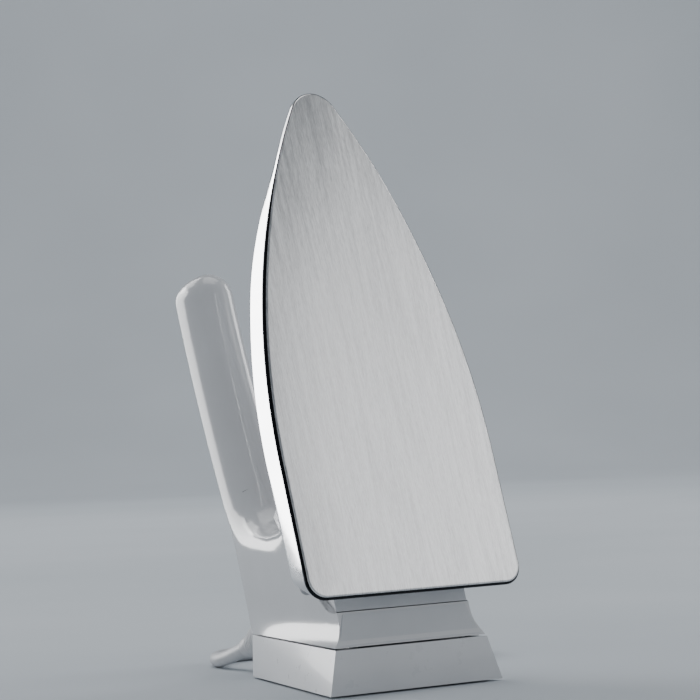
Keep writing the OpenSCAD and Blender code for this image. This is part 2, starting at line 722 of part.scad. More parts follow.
// The plug lies on the coil: its tail rests lower than its wide body
plug_yaw = 45;
plug_tilt = 15;
plug_r = 18.5;
tail_len = 24;
body_len = 36;
plug_face = tail_len + body_len;
pin_root = 12;
pin_root_r = 2.2;
pin_apart = 19;
pin_tip = 1.5;
module plug_axis() {
    translate(TAIL[len(TAIL) - 1]) rotate([0, 90 - plug_tilt, plug_yaw]) children();
}
module plug_body() color("dimgray") plug_axis() difference() {
    rotate_extrude($fn = 64)
        polygon([[0, 0], [5, 0], [7.5, tail_len], [13, tail_len + 3], [17.5, tail_len + 14],
                 [plug_r, tail_len + 20],
                 [plug_r, plug_face - 1], [plug_r - 1, plug_face], [0, plug_face]]);
    for (s = [-1, 1]) translate([0, s * pin_apart / 2, plug_face - pin_root])
        cylinder(h = pin_root + 1, r = pin_root_r, $fn = 32);
    for (s = [-1, 1]) translate([s * 17.6 - 2, -3, plug_face - 14]) cube([4, 6, 16]);
}
module plug_pins() color("silver") plug_axis()
    for (s = [-1, 1]) translate([0, s * pin_apart / 2, plug_face]) {
    translate([0, 0, -pin_root]) cylinder(h = pin_root, r = pin_root_r, $fn = 32);
    cylinder(h = pin_len - pin_tip, r = pin_r, $fn = 32);
    translate([0, 0, pin_len - pin_tip]) cylinder(h = pin_tip, r1 = pin_r, r2 = pin_r - 1, $fn = 32);
}

sole_face();
soleplate();
heating_element();
element_terminals();
earth_tab();
heat_shield();
shield_screws();
insulating_skirt();
body_cover();
handle_shell();
back_cover();
neck_panel();
heel_base();
heel_pad();
base_screws();
dial_bezel();
temperature_dial();
thermostat_spindle();
thermostat_frame();
thermostat_stack();
bimetal_strip();
contact_leaves();
thermal_fuse();
pilot_lens();
pilot_lamp();
terminal_block();
terminal_screws();
inner_leads();
inner_cord();
cord_clamp();
clamp_screws();
strain_relief();
mains_cord();
cord_coil();
cord_tail();
plug_body();
plug_pins();
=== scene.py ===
import math

import bmesh
import bpy
from mathutils import Matrix, Vector


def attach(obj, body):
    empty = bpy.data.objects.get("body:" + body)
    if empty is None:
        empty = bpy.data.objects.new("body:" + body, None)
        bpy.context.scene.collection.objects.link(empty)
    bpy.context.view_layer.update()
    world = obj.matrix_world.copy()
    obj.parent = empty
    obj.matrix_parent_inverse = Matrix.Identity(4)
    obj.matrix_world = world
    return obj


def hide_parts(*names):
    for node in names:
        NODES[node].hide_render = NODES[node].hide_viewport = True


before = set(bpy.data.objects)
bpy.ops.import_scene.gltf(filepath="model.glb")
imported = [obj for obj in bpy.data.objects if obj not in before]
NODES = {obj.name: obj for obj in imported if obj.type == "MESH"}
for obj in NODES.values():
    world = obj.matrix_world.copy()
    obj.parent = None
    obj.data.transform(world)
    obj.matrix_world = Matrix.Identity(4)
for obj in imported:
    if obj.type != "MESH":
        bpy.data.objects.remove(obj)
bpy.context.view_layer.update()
MM = 0.001

# ---- The iron's own frame: x across, y along the sole from its rear edge, z above its face, in mm ----

LEAN = math.radians(17.3)
SIN, COS = math.sin(LEAN), math.cos(LEAN)
REAR_Y, REAR_Z, SEAM_Z = 59, 42, 20
HEEL_BACK = 111.3


def iron(x, y, z):
    """A point of the iron's own frame, as world metres."""
    return Vector((-x, -REAR_Y + y * SIN + z * COS, REAR_Z + y * COS - z * SIN)) * MM


def world_z(y, z):
    """Height above the table, in mm, of a point of the iron's own frame."""
    return REAR_Z + y * COS - z * SIN


AXIS_X = Vector((-1, 0, 0))
AXIS_Y = Vector((0, SIN, COS))
AXIS_Z = Vector((0, COS, -SIN))

# ---- Camera ----

CAMERA_AT = (-0.70991, -1.05337, 0.12795)
CAMERA_HEADING, CAMERA_PITCH, CAMERA_ROLL = 34.316, 0.8315, -2.3107
CAMERA_LENS = 147.687


def make_camera():
    data = bpy.data.cameras.new("camera")
    data.lens = CAMERA_LENS
    data.sensor_width = 36
    data.clip_start = 0.05
    data.clip_end = 20
    camera = bpy.data.objects.new("camera", data)
    turn = (Matrix.Rotation(math.radians(-CAMERA_HEADING), 4, "Z")
            @ Matrix.Rotation(math.radians(90 + CAMERA_PITCH), 4, "X")
            @ Matrix.Rotation(math.radians(CAMERA_ROLL), 4, "Z"))
    camera.matrix_world = Matrix.Translation(CAMERA_AT) @ turn
    bpy.context.scene.collection.objects.link(camera)
    bpy.context.scene.camera = camera


# ---- Mesh helpers ----

def link(name, mesh):
    obj = bpy.data.objects.new(name, mesh)
    bpy.context.scene.collection.objects.link(obj)
    return obj


def smooth(obj, angle=35):
    """Rounds the shading between faces that meet at less than this angle."""
    limit = math.radians(angle)
    edit = bmesh.new()
    edit.from_mesh(obj.data)
    for face in edit.faces:
        face.smooth = True
    for edge in edit.edges:
        edge.smooth = len(edge.link_faces) == 2 and edge.calc_face_angle(0) < limit
    edit.to_mesh(obj.data)
    edit.free()


def strips(name, rings, closed=True, cap_start=False, cap_end=False):
    """A mesh of quads through rows of points."""
    width = len(rings[0])
    points = [point for ring in rings for point in ring]
    faces = []
    for i in range(len(rings) - 1):
        for j in range(width if closed else width - 1):
            k = (j + 1) % width
            faces.append((i * width + j, i * width + k, (i + 1) * width + k, (i + 1) * width + j))
    if cap_start:
        faces.append(tuple(range(width - 1, -1, -1)))
    if cap_end:
        faces.append(tuple((len(rings) - 1) * width + j for j in range(width)))
    mesh = bpy.data.meshes.new(name)
    mesh.from_pydata(points, [], faces)
    obj = link(name, mesh)
    tidy(obj)
    return obj


def tidy(obj, merge=1e-6):
    """Merges points that meet, drops empty faces and turns every face outwards."""
    edit = bmesh.new()
    edit.from_mesh(obj.data)
    bmesh.ops.remove_doubles(edit, verts=edit.verts, dist=merge)
    bmesh.ops.dissolve_degenerate(edit, edges=edit.edges, dist=merge)
    bmesh.ops.recalc_face_normals(edit, faces=edit.faces)
    edit.to_mesh(obj.data)
    edit.free()


def apply_modifiers(obj):
    graph = bpy.context.evaluated_depsgraph_get()
    mesh = bpy.data.meshes.new_from_object(obj.evaluated_get(graph))
    obj.modifiers.clear()
    obj.data = mesh


def soften(obj, width, segments=3, angle=32):
    """Rounds the sharp edges, so that they catch the light as moulded ones do."""
    bevel = obj.modifiers.new("edges", "BEVEL")
    bevel.width = width * MM
    bevel.segments = segments
    bevel.limit_method = "ANGLE"
    bevel.angle_limit = math.radians(angle)
    bevel.use_clamp_overlap = True
    bevel.harden_normals = True
    smooth(obj, angle)
    apply_modifiers(obj)


def keep_inside(obj, cutter):
    """Keeps the part of obj that lies inside the cutter, and removes the cutter."""
    change = obj.modifiers.new("cut", "BOOLEAN")
    change.operation = "INTERSECT"
    change.object = cutter
    change.solver = "EXACT"
    apply_modifiers(obj)
    bpy.data.objects.remove(cutter)


def refined(node, name, width, segments=2):
    """A copy of a CAD node with its edges rounded, which stands for that node."""
    mesh = NODES[node].data.copy()
    mesh.materials.clear()
    obj = link(name, mesh)
    edit = bmesh.new()
    edit.from_mesh(mesh)
    bmesh.ops.remove_doubles(edit, verts=edit.verts, dist=2e-6)
    bmesh.ops.dissolve_limit(edit, angle_limit=math.radians(0.2), verts=edit.verts, edges=edit.edges)
    edit.to_mesh(mesh)
    edit.free()
    soften(obj, width, segments)
    return obj


def piece(obj, body, slot, material, *nodes):
    """Gives an object its material and its body, and hides the CAD nodes that it replaces. The slot is not
    used.
    """
    obj.data.materials.clear()
    obj.data.materials.append(material)
    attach(obj, body)
    if nodes:
        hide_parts(*nodes)
    return obj


# ---- Materials ----

class Nodes:
    """A material's node tree, with short ways to add to it."""

    def __init__(self, name):
        self.material = bpy.data.materials.new(name)
        self.material.use_nodes = True
        self.tree = self.material.node_tree
        self.tree.nodes.clear()
        self.shader = self.add("ShaderNodeBsdfPrincipled")
        out = self.add("ShaderNodeOutputMaterial")
        self.wire(self.shader.outputs["BSDF"], out.inputs["Surface"])
        self.place = self.add("ShaderNodeTexCoord").outputs["Object"]

    def add(self, kind):
        return self.tree.nodes.new(kind)

    def wire(self, a, b):
        self.tree.links.new(a, b)

    def noise(self, scale, detail=3.0, rough=0.55, at=None):
        node = self.add("ShaderNodeTexNoise")
        node.inputs["Scale"].default_value = scale
        node.inputs["Detail"].default_value = detail
        node.inputs["Roughness"].default_value = rough
        self.wire(at or self.place, node.inputs["Vector"])
        return node.outputs["Fac"]

    def dot(self, axis):
        node = self.add("ShaderNodeVectorMath")
        node.operation = "DOT_PRODUCT"
        node.inputs[1].default_value = axis
        self.wire(self.place, node.inputs[0])
        return node.outputs["Value"]

    def times(self, value, factor):
        node = self.add("ShaderNodeMath")
        node.operation = "MULTIPLY"
        node.inputs[1].default_value = factor
        self.wire(value, node.inputs[0])
        return node.outputs[0]

    def blend(self, a, b, amount=0.5):
        node = self.add("ShaderNodeMath")
        node.operation = "ADD"
        self.wire(self.times(a, 1 - amount), node.inputs[0])
        self.wire(self.times(b, amount), node.inputs[1])
        return node.outputs[0]

    def stretched(self, along, across, third):
        """Coordinates of the iron's frame, each squeezed by its own factor."""
        join = self.add("ShaderNodeCombineXYZ")
        self.wire(self.times(self.dot(AXIS_X), across), join.inputs["X"])
        self.wire(self.times(self.dot(AXIS_Y), along), join.inputs["Y"])
        self.wire(self.times(self.dot(AXIS_Z), third), join.inputs["Z"])
        return join.outputs[0]

    def ramp(self, value, low, high, start=0.3, end=0.7):
        """Maps a pattern to a range of numbers."""
        node = self.add("ShaderNodeMapRange")
        node.inputs["From Min"].default_value = start
        node.inputs["From Max"].default_value = end
        node.inputs["To Min"].default_value = low
        node.inputs["To Max"].default_value = high
        self.wire(value, node.inputs["Value"])
        return node.outputs["Result"]

    def tint(self, value, dark, light, start=0.3, end=0.7):
        node = self.add("ShaderNodeValToRGB")
        node.color_ramp.elements[0].position = start
        node.color_ramp.elements[1].position = end
        node.color_ramp.elements[0].color = (*dark, 1)
        node.color_ramp.elements[1].color = (*light, 1)
        self.wire(value, node.inputs["Fac"])
        self.wire(node.outputs["Color"], self.shader.inputs["Base Color"])

    def bump(self, height, strength, depth):
        node = self.add("ShaderNodeBump")
        node.inputs["Strength"].default_value = strength
        node.inputs["Distance"].default_value = depth
        self.wire(height, node.inputs["Height"])
        self.wire(node.outputs["Normal"], self.shader.inputs["Normal"])

    def set(self, **values):
        for name, value in values.items():
            self.shader.inputs[name.replace("_", " ")].default_value = value


def shade(colour, factor):
    return tuple(min(1.0, c * factor) for c in colour)


def plastic(name, colour, rough=0.25, grain=0.0, coat=0.0):
    """Moulded plastic: faint clouding, a fine texture, and gloss that varies a little."""
    n = Nodes(name)
    cloud = n.noise(38, 4)
    n.tint(cloud, shade(colour, 0.965), shade(colour, 1.02))
    n.wire(n.ramp(n.noise(160, 3), rough * 0.97, rough * 1.04), n.shader.inputs["Roughness"])
    n.bump(n.noise(2400, 2), 0.04 + grain, 0.00002 + grain * 0.0001)
    n.set(IOR=1.5, Coat_Weight=coat, Coat_Roughness=0.06)
    return n.material


def metal(name, colour, rough=0.25, scratches=0.1):
    n = Nodes(name)
    n.tint(n.noise(60, 4), shade(colour, 0.93), shade(colour, 1.03))
    n.wire(n.ramp(n.noise(420, 5), rough * 0.75, rough * 1.3), n.shader.inputs["Roughness"])
    n.bump(n.noise(2600, 4), scratches, 0.00003)
    n.set(Metallic=1.0)
    return n.material


def brushed(name, colour, rough=0.3):
    """Metal brushed along the sole: short fine streaks over faint longer bands."""
    n = Nodes(name)
    fine = n.noise(1, 3, 0.7, at=n.stretched(240, 3600, 2000))
    broad = n.noise(1, 2, 0.5, at=n.stretched(22, 520, 300))
    both = n.blend(fine, broad, amount=0.35)
    n.tint(both, shade(colour, 0.70), shade(colour, 1.16), 0.38, 0.62)
    n.wire(n.ramp(both, rough * 0.8, rough * 1.25), n.shader.inputs["Roughness"])
    n.bump(both, 0.22, 0.00003)
    n.set(Metallic=1.0)
    return n.material


def rubber(name, colour, rough=0.55):
    n = Nodes(name)
    n.tint(n.noise(90, 4), shade(colour, 0.9), shade(colour, 1.06))
    n.wire(n.ramp(n.noise(500, 3), rough * 0.9, rough * 1.1), n.shader.inputs["Roughness"])
    n.bump(n.noise(5200, 3), 0.2, 0.00005)
    return n.material


def ceramic(name, colour):
    n = Nodes(name)
    n.tint(n.noise(700, 4), shade(colour, 0.9), shade(colour, 1.03))
    n.wire(n.ramp(n.noise(260, 3), 0.22, 0.4), n.shader.inputs["Roughness"])
    n.bump(n.noise(1800, 3), 0.15, 0.00005)
    return n.material


def lens_glass(name, colour):
    n = Nodes(name)
    n.tint(n.noise(240, 3), shade(colour, 0.9), shade(colour, 1.08))
    n.wire(n.ramp(n.noise(500, 3), 0.06, 0.14), n.shader.inputs["Roughness"])
    n.set(IOR=1.5, Transmission_Weight=0.55)
    return n.material


# ---- Mains lead: the same route as the CAD tube and coil ----

CORD_R = 3.5
CORD_Y = (SEAM_Z - REAR_Z + HEEL_BACK * SIN) / COS + 0.4
RELIEF_LEN = 32
COIL_X, COIL_Y = 73, 80
INNER_TURN, OUTER_TURN, PITCH = 26.5, 47.5, 7
LOW, HIGH = 3.5, 10.5
COIL_START, COIL_END = 90, 225


def lead_route():
    leave = iron(0, CORD_Y, HEEL_BACK + RELIEF_LEN) / MM
    points = [leave + AXIS_Z * step for step in (0, 8, 16)]
    on_table = [(0, 104, 4.4), (2, 111, 3.6), (6, 118, LOW), (12, 123.5, LOW), (20, 126.8, LOW)]
    on_table += [(x, 127.5, LOW) for x in (30, 42, 54, 64)]
    return points + [Vector(p) for p in on_table]


def coil_route(per_turn=24):
    """Three turns inwards on the table, one that climbs, then three outwards on top of them."""
    last = 7 - (COIL_END - COIL_START) / 360
    count = round(last * per_turn)
    points = []
    for i in range(count + 1):
        t = last * i / count
        climb = 1 - (1 - min(max(t - 3, 0), 1)) ** 3
        if t < 4:
            radius = max(INNER_TURN, OUTER_TURN - PITCH * t)
        elif t < 5:
            radius = INNER_TURN + PITCH * (1 - (5 - t) ** 3)
        else:
            radius = INNER_TURN + PITCH + (OUTER_TURN - INNER_TURN - PITCH) * (t - 5) / (last - 5)
        angle = math.radians(COIL_START - 360 * t)
        points.append(Vector((COIL_X + radius * math.cos(angle), COIL_Y + radius * math.sin(angle),
                              LOW + (HIGH - LOW) * climb)))
    return points


TAIL = [Vector(p) for p in ((34.6, 52.6, 11.6), (31.6, 59.8, 13.9), (30.6, 67.6, 16.3), (31.6, 75.4, 18.1),
                            (34.6, 82.6, 19.5), (39.4, 88.8, 21))]


def rounded_route(points, steps=4):
    """A smooth line through the points."""
    ends = [2 * points[0] - points[1], *points, 2 * points[-1] - points[-2]]
    line = []
    for a, b, c, d in zip(ends, ends[1:], ends[2:], ends[3:]):
        for i in range(steps):
            t = i / steps
            line.append(0.5 * (2 * b + (c - a) * t + (2 * a - 5 * b + 4 * c - d) * t ** 2
                               + (3 * b - a - 3 * c + d) * t ** 3))
    return line + [points[-1]]


def make_lead(material):
    line = rounded_route(lead_route() + coil_route() + TAIL)
    data = bpy.data.curves.new("mains_lead", "CURVE")
    data.dimensions = "3D"
    data.bevel_depth = CORD_R * MM
    data.bevel_resolution = 5
    data.use_fill_caps = True
    spline = data.splines.new("POLY")
    spline.points.add(len(line) - 1)
    for point, at in zip(spline.points, line):
        point.co = (*(at * MM), 1)
    spline.use_smooth = True
    lead = bpy.data.objects.new("mains_lead", data)
    bpy.context.scene.collection.objects.link(lead)
    piece(lead, "iron", "mains_cord", material, "mains_cord", "cord_coil", "cord_tail")


# ---- Sole ----

SOLE_LEN, HALF_W, SIDE_R, SIDE_START, CORNER_R = 230, 56, 320, 60, 9
SIDE_IN = SIDE_R - HALF_W
ARC_LEN = SOLE_LEN - SIDE_START
TIP_R = (SIDE_R ** 2 - SIDE_IN ** 2 - ARC_LEN ** 2) / (2 * (SIDE_R - ARC_LEN))
TIP_Y = SIDE_START + math.sqrt((SIDE_R - TIP_R) ** 2 - SIDE_IN ** 2)
WALL_H, NOSE_H = 13, 4


def arc(cx, cy, r, a0, a1, n):
    """n + 1 points of a circle, angles in degrees."""
    return [(cx + r * math.cos(math.radians(a0 + (a1 - a0) * i / n)),
             cy + r * math.sin(math.radians(a0 + (a1 - a0) * i / n))) for i in range(n + 1)]


def clamp(value, low=0.0, high=1.0):
    return max(low, min(high, value))


def ease(t):
    t = clamp(t)
    return t * t * (3 - 2 * t)


def wall_top(y):
    rise = math.sin(math.pi / 2 * clamp((194 - y) / 54))
    return NOSE_H + (WALL_H - NOSE_H) * rise - 2 * (1 - clamp(y / 90))


def sole_outline():
    """Points round the sole with the direction outwards at each."""
    meet = math.degrees(math.atan2(TIP_Y - SIDE_START, SIDE_IN))
    half = []
    corner = arc(0, 0, 1, -90, 0, 10)
    half += [((HALF_W - CORNER_R + CORNER_R * c, CORNER_R + CORNER_R * s), (c, s)) for c, s in corner]
    half += [((HALF_W, y), (1, 0)) for y in range(15, SIDE_START, 6)]
    half += [((-SIDE_IN + SIDE_R * c, SIDE_START + SIDE_R * s), (c, s)) for c, s in arc(0, 0, 1, 0, meet, 64)]
    half += [((TIP_R * c, TIP_Y + TIP_R * s), (c, s)) for c, s in arc(0, 0, 1, meet, 90, 14)][1:]
    other = [((-p[0], p[1]), (-d[0], d[1])) for p, d in reversed(half[:-1])]
    rear = [((x, 0), (0, -1)) for x in range(-40, 41, 8)]
    return half + other + rear


RAKE, RAKE_RUN, RAKE_FROM, RAKE_H = 6.5, 30, 2, 9


def raked(y, z):
    """The rear of the wall leans forward as it rises from the face."""
    lean = RAKE * clamp((z - RAKE_FROM) / RAKE_H)
    return y if y > RAKE_RUN else lean + y * (RAKE_RUN - lean) / RAKE_RUN


def sole_ring(inset, height):
    """A ring at an inset and a height, each given as (share of the wall's height, mm)."""
    ring = []
    for (x, y), (dx, dy) in sole_outline():
        top = wall_top(y)
        back = inset[0] * top + inset[1]
        z = height[0] * top + height[1]
        ring.append(iron(x - dx * back, raked(y - dy * back, z), z))
    return ring


CHAMFER = 0.10
# The chamfer rings of the wall's profile, which get a near-black metal as a painted dark reflection.
PAINTED_REFLECTION_RINGS = (1, 2, 3)


def make_sole(face_material, wall_material, painted_reflection_material):
    """Brushed face sheet and the casting with its polished wall, whose chamfer rings carry a painted dark
    reflection. Profiles are (inset, mm, height, mm).
    """
    edge = [(CHAMFER + 0.02, 0.55, 0, 0.0), (CHAMFER, 0.25, 0, 0.05), (CHAMFER, 0.0, 0, 0.28),
            (CHAMFER * 0.9, 0, CHAMFER * 0.1, 0.3)]
    face_rings = [sole_ring((a, b), (c, d)) for a, b, c, d in reversed(edge)]
    middle = []
    for (x, y), _ in sole_outline():
        middle.append(iron(x * 0.55, 14 + (y - 14) * 0.72 if y > 14 else 14, 0))
    face = strips("sole_plate_face", face_rings + [middle], cap_end=True, cap_start=False)
    back = [sole_ring((CHAMFER * 0.9, 0), (CHAMFER * 0.1, 0.3)),
            sole_ring((CHAMFER * 0.9, 1.2), (CHAMFER * 0.1, 1.1))]
    inner = strips("sole_face_back", back + [[p + AXIS_Z * 1.1 * MM for p in middle]], cap_end=True)
    join(face, inner)
    smooth(face, 40)
    piece(face, "iron", "sole_face", face_material, "sole_face")
    profile = [(CHAMFER * 0.88, 2.0, CHAMFER * 0.12, 1.4), (CHAMFER * 0.88, 0.02, CHAMFER * 0.12, 0.32),
               (CHAMFER * 0.12, 0, CHAMFER * 0.88, 0.1), (CHAMFER * 0.03, 0, CHAMFER * 0.97, 0.25),
               (0, 0, CHAMFER * 1.1, 0.5), (0, 0, 0.5, 0), (0, 0, 0.86, 0), (0, 0.08, 0.93, 0),
               (0, 0.3, 0.975, 0), (0, 0.7, 1, 0), (0, 3.5, 1, 0), (0, 3.5, 0.6, 0)]
    rings = [sole_ring((a, b), (c, d)) for a, b, c, d in profile]
    deck = [p + AXIS_Z * 6 * MM for p in middle]
    wall = strips("sole_casting", rings + [deck], cap_end=True)
    smooth(wall, 28)
    piece(wall, "iron", "soleplate", wall_material, "soleplate")
    # The chamfer takes a second, near-black metal: a painted dark reflection where the polished edge mirrors
    # dim surroundings.
    wall.data.materials.append(painted_reflection_material)
    width = len(sole_outline())
    for face in wall.data.polygons:
        if min(face.vertices) // width in PAINTED_REFLECTION_RINGS:
            face.material_index = 1


def join(obj, *others):
    """Adds other meshes to obj, and removes them."""
    edit = bmesh.new()
    edit.from_mesh(obj.data)
    for other in others:
        edit.from_mesh(other.data)
        bpy.data.objects.remove(other)
    bmesh.ops.remove_doubles(edit, verts=edit.verts, dist=1e-6)
    bmesh.ops.recalc_face_normals(edit, faces=edit.faces)
    edit.to_mesh(obj.data)
    edit.free()


# ---- Handle ----

GRIP_START, GRIP_RISE, GRIP_ARCH = 57, 0.196, 630
GRIP_END, GRIP_T, DOME = 186, 20, 12
FLARE_H, FLARE_FRONT, FLARE_BACK = 12, 5.2, 0.3


def cheek(z):
    return 37.3 - 0.192 * z


def back_z(y):
    run = max(0, y - GRIP_START)
    return HEEL_BACK + GRIP_RISE * run - run ** 2 / (2 * GRIP_ARCH)


def seam_y(z, height=SEAM_Z + 0.4):
    return (height - REAR_Z + z * SIN) / COS


def cheek_at(y, z):
    """Half width of the heel, which flares just above the seam."""
    low = clamp(1 - (world_z(y, z) - SEAM_Z) / FLARE_H)
    share = clamp((z - 13.4) / (HEEL_BACK - 13.4))
    return cheek(z) + (FLARE_FRONT + (FLARE_BACK - FLARE_FRONT) * share) * low ** 2.2


def along(points, steps):
    """Evenly spread points on a polyline, each with its share of the length."""
    lengths = [0]
    for a, b in zip(points, points[1:]):
        lengths.append(lengths[-1] + math.dist(a, b))
    out = []
    for i in range(steps + 1):
        want = lengths[-1] * i / steps
        k = max(j for j in range(len(points) - 1) if lengths[j] <= want + 1e-9)
        t = (want - lengths[k]) / (lengths[k + 1] - lengths[k])
        out.append((points[k][0] + (points[k + 1][0] - points[k][0]) * t,
                    points[k][1] + (points[k + 1][1] - points[k][1]) * t))
    return out


def curve(points, steps=8):
    """A smooth line through (y, z) points."""
    line = rounded_route([Vector((*p, 0)) for p in points], steps)
    return [(p.x, p.y) for p in line]


def joint_line(gap=0.3):
    """Where heel and cover meet, from the neck's front edge to the finger gap."""
    return [(-3, 14.4)] + arc(13, 14.4, 15.5 + gap, 180, 98, 14) + [(40 - gap, 44 + gap)]


STATIONS = 72


def gap_edge():
    """Edge between cheek and finger gap, from the joint with the cover up to the grip."""
    return curve([(46.5, 48.8), (43.3, 52.5), (42.3, 57), (42.4, 63), (43.5, 70), (45.4, 78),
                  (48.7, 87), (53, 98.5), (58.6, 107.2), (65, 111.6), (72, 113.7)])


def gap_middle():
    """Middle line of the finger gap's scooped face, opposite gap_edge."""
    return (arc(69, 68, 18, -138, -180, 8) + arc(73, back_z(72) - 42, 22, 180, 98, 16)[1:]
            + [(78, back_z(78) - GRIP_T)])


def outer_edge():
    """Outline of the heel: joint, neck, seam and back, opposite gap_edge."""
    neck = [(-2.8, 14.4), (seam_y(14.4) + 6, 14.4), (seam_y(13.6), 13.6)]
    seam = [(seam_y(z), z) for z in (20, 40, 60, 80, 100, HEEL_BACK)]
    back = [(30, HEEL_BACK), (50, HEEL_BACK), (GRIP_START, HEEL_BACK), (72, back_z(72))]
    return joint_line()[::-1] + neck + seam + back


SCOOP_PARTS = 14


def scoop_shares():
    """Shares of the half width and of the depth, round the underside from one cheek to the other."""
    turns = [math.pi * k / SCOOP_PARTS for k in range(1, SCOOP_PARTS)]
    return [(math.cos(a), math.sin(a)) for a in turns]


def make_handle(material):
    """Heel and grip in one moulding: rows of points from the finger gap's joint up to the domed end."""
    edge, middle, outer = (along(f(), STATIONS) for f in (gap_edge, gap_middle, outer_edge))
    shares = [0, 0.02, 0.045, 0.075, 0.11, 0.15, 0.2, 0.27, 0.36, 0.47, 0.6, 0.74, 0.88, 1]
    rows = []
    for (oy, oz), (ey, ez), mid in zip(outer, edge, middle):
        left = []
        for t in shares:
            y, z = oy + (ey - oy) * t, oz + (ez - oz) * t
            left.append((cheek_at(y, z), y, z))
        half = cheek_at(ey, ez)
        scoop = [(half * u, ey + (mid[0] - ey) * v, ez + (mid[1] - ez) * v) for u, v in scoop_shares()]
        right = [(-x, y, z) for x, y, z in reversed(left)]
        across = right[-1][0]
        closing = [(across * (1 - k / 2), oy, oz) for k in (1, 2, 3)]
        rows.append(left + scoop + right + closing)
    # the grip goes on from the last row with the same number of points
    stations = [76, 80, 85] + list(range(92, 172, 8)) + [GRIP_END - DOME + DOME * math.sin(math.radians(a))
                                                         for a in range(0, 91, 9)]
    for y in stations:
        u = max(0, (y - GRIP_END + DOME) / DOME)
        k = math.sqrt(max(0.0004, 1 - u * u))
        top = back_z(y) - (1 - k) * GRIP_T * 0.45
        w = cheek(top) * k
        flat = 0.8 * k
        left = [(w, y, top - flat * t) for t in shares]
        scoop = [(w * u, y, top - flat - (GRIP_T * k - flat) * v) for u, v in scoop_shares()]
        right = [(-x, yy, z) for x, yy, z in reversed(left)]
        closing = [(-w * (1 - j / 2), y, top) for j in (1, 2, 3)]
        rows.append(left + scoop + right + closing)
    obj = strips("handle_moulding", [[iron(*p) for p in row] for row in rows], cap_start=True, cap_end=True)
    soften(obj, 0.45, 2, 38)
    piece(obj, "iron", "handle_shell", material, "handle_shell")
    return obj


def make_back_cover(material):
    """Thin cover that closes the heel and the grip from behind, with a rounded edge."""
    rows = []
    stations = [seam_y(HEEL_BACK) + 0.5, 20, 30, 40, 50, 57] + list(range(62, 168, 6))
    stations += [172 - 8 + 8 * math.sin(math.radians(a)) for a in range(30, 91, 10)]
    for y in stations:
        u = max(0, (y - 164) / 8)
        w = (cheek(back_z(y)) - 1.3) * math.sqrt(max(0.05, 1 - 0.9 * u * u))
        z = back_z(y)
        half = [(w, z - 0.6), (w, z + 0.05), (w - 0.35, z + 0.4), (w - 1.2, z + 0.62), (w * 0.5, z + 0.8)]
        other = [(-x, y, h) for x, h in reversed(half)]
        rows.append([(x, y, h) for x, h in half] + [(0, y, z + 0.85)] + other)
    obj = strips("handle_back_cover", [[iron(*p) for p in row] for row in rows], cap_start=True, cap_end=True)
    smooth(obj, 40)
    piece(obj, "iron", "back_cover", material, "back_cover")


# ---- Body cover and skirt ----

COVER_LEN, COVER_NOSE, COVER_TOP, COVER_IN, SKIRT_H = 217, 16, 50, 8, 4
NOSE_DOME = 16


def sole_half(y):
    return HALF_W if y < SIDE_START else math.sqrt(SIDE_R ** 2 - (y - SIDE_START) ** 2) - SIDE_IN


def cover_z(y):
    if y < 51:
        return COVER_TOP + 18
    if y < 69:
        return COVER_TOP + 18 - math.sqrt(18 ** 2 - (69 - y) ** 2)
    return COVER_TOP - (COVER_TOP - COVER_NOSE) * ((y - 69) / (COVER_LEN - 69)) ** 1.6


def foot_half(y):
    t = ease((y - 12) / 28)
    return (1 - t) * cheek(16) + t * max(2, sole_half(min(y, 223)) - COVER_IN)


def cover_row(y):
    u = max(0, (y - COVER_LEN + NOSE_DOME) / NOSE_DOME)
    k = math.sqrt(max(0.002, 1 - u * u))
    foot_z = wall_top(y) + SKIRT_H
    foot = foot_half(y) * (0.4 + 0.6 * k)
    shoulder_z = foot_z + (cover_z(y) - 5 - foot_z) * k
    top_z = foot_z + (cover_z(y) - foot_z) * k
    shoulder = min(min(cheek(cover_z(y) - 5), 0.62 * foot_half(y)) * k, foot)
    side = []
    for i in range(9):
        t = i / 8
        bulge = 1.3 * math.sin(math.pi * t) * ease((y - 40) / 40) * k
        side.append((foot + (shoulder - foot) * t + bulge, foot_z + (shoulder_z - foot_z) * t))
    turns = [math.radians(a) for a in range(10, 91, 10)]
    over = [(shoulder * math.cos(a), shoulder_z + (top_z - shoulder_z) * math.sin(a)) for a in turns]
    half = side + over
    return [(x, y, z) for x, z in half] + [(-x, y, z) for x, z in reversed(half[:-1])]


def prism(name, outline, width=200):
    """A side view, given as (y, z), drawn out across the iron."""
    rings = [[iron(x, y, z) for y, z in outline] for x in (-width / 2, width / 2)]
    return strips(name, rings, cap_start=True, cap_end=True)


def make_cover(material):
    """Domed cover from the finger gap's shoulder to the nose, cut back to the joint with the heel."""
    ys = [-6, 0, 6] + list(range(12, 43, 3))
    ys += [46, 49, 50.9, 51.3, 52, 53, 54.5, 56.5, 59, 62, 65.5, 69] + list(range(74, 200, 5))
    ys += [COVER_LEN - NOSE_DOME + NOSE_DOME * math.sin(math.radians(a)) for a in range(0, 91, 9)]
    rows = [[iron(*p) for p in cover_row(y)] for y in ys]
    obj = strips("cover_moulding", rows, cap_start=True, cap_end=True)
    outline = [(-2.95, 0), (-2.95, 14.35)] + arc(13, 14.4, 15.4, 180, 98, 14)
    outline += [(40, 44), (62, 66), (240, 66), (240, 0)]
    keep_inside(obj, prism("cover_cut", outline))
    tidy(obj)
    soften(obj, 0.35, 2, 40)
    piece(obj, "iron", "body_cover", material, "body_cover")


# ---- Base, panel, relief, dial and plug ----

def lathe(name, profile, origin, axis, turns=72):
    """A turned piece. The profile is (radius, distance along the axis) in mm."""
    side = axis.orthogonal().normalized()
    other = axis.cross(side)
    rings = []
    for i in range(turns):
        a = 2 * math.pi * i / turns
        out = side * math.cos(a) + other * math.sin(a)
        rings.append([origin + (out * r + axis * s) * MM for r, s in profile])
    rings.append(rings[0])
    return strips(name, rings, closed=False)


